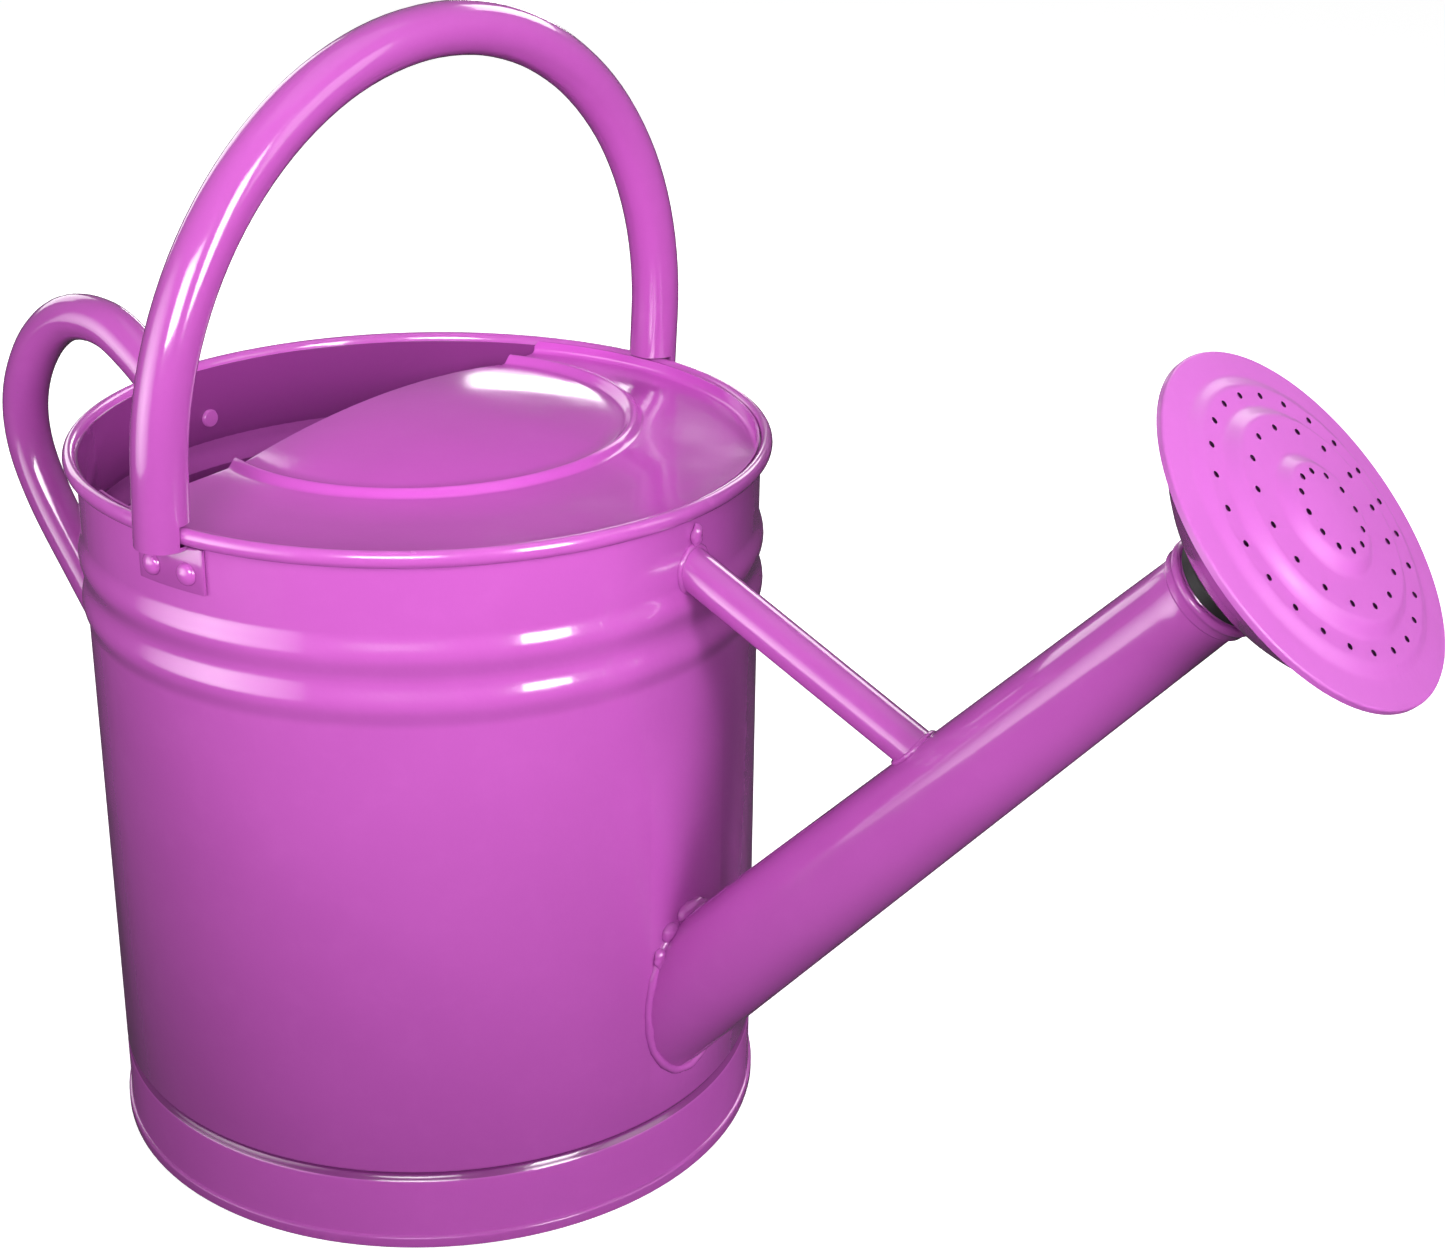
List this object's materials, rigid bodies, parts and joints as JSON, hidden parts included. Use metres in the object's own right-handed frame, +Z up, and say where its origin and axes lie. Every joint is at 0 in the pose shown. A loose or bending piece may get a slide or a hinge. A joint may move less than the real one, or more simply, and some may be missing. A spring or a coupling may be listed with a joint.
{
  "type": "watering can",
  "caption": "Round sheet-steel watering can with an arched carrying handle, a rear grip, a braced spout and a round sprinkler rose that twists and pulls off.",
  "frame": {"origin": "centre of the bounding box's bottom face, on the surface the can stands on, in the middle plane of the can; the barrel's own axis is behind it, because the spout reaches further than the rear handle", "axes": "+X forward along the can towards the spout, +Y to the can's left side, +Z up along the barrel's axis"},
  "size_m": [0.445, 0.1968, 0.3052],
  "materials": {
    "barrel_enamel": "gloss orchid enamel on sheet steel",
    "pan_enamel": "gloss orchid enamel on sheet steel",
    "cover_enamel": "gloss orchid enamel on sheet steel",
    "handle_enamel": "gloss orchid enamel on steel tube",
    "rivet_enamel": "gloss orchid enamel over steel rivets",
    "spout_enamel": "gloss orchid enamel on sheet steel",
    "rose_enamel": "satin orchid enamel on sheet steel",
    "seal_rubber": "matte black rubber"
  },
  "bodies": {
    "can": {"barrel": "barrel_enamel", "bottom_pan": "pan_enamel", "splash_cover": "cover_enamel", "top_handle": "handle_enamel", "rear_handle": "handle_enamel", "top_handle_rivet_1": "rivet_enamel", "top_handle_rivet_2": "rivet_enamel", "top_handle_rivet_3": "rivet_enamel", "top_handle_rivet_4": "rivet_enamel", "rear_handle_rivet_1": "rivet_enamel", "rear_handle_rivet_2": "rivet_enamel", "rear_handle_rivet_3": "rivet_enamel", "rear_handle_rivet_4": "rivet_enamel", "spout_tube": "spout_enamel", "spout_ferrule": "spout_enamel", "spout_brace": "spout_enamel"},
    "rose_mount": {"rose_seal": "seal_rubber"},
    "rose": {"rose_face": "rose_enamel", "rose_cone": "rose_enamel", "rose_neck": "rose_enamel"}
  },
  "joints": [
    {"name": "rose_pull", "type": "slide", "parent": "can", "child": "rose_mount", "axis": [0.6807, 0, 0.7325], "range_m": [0, 0.03]},
    {"name": "rose_twist", "type": "hinge", "parent": "rose_mount", "child": "rose", "pos_m": [0.1912, 0, 0.22399], "axis": [0.6807, 0, 0.7325], "continuous": true}
  ]
}
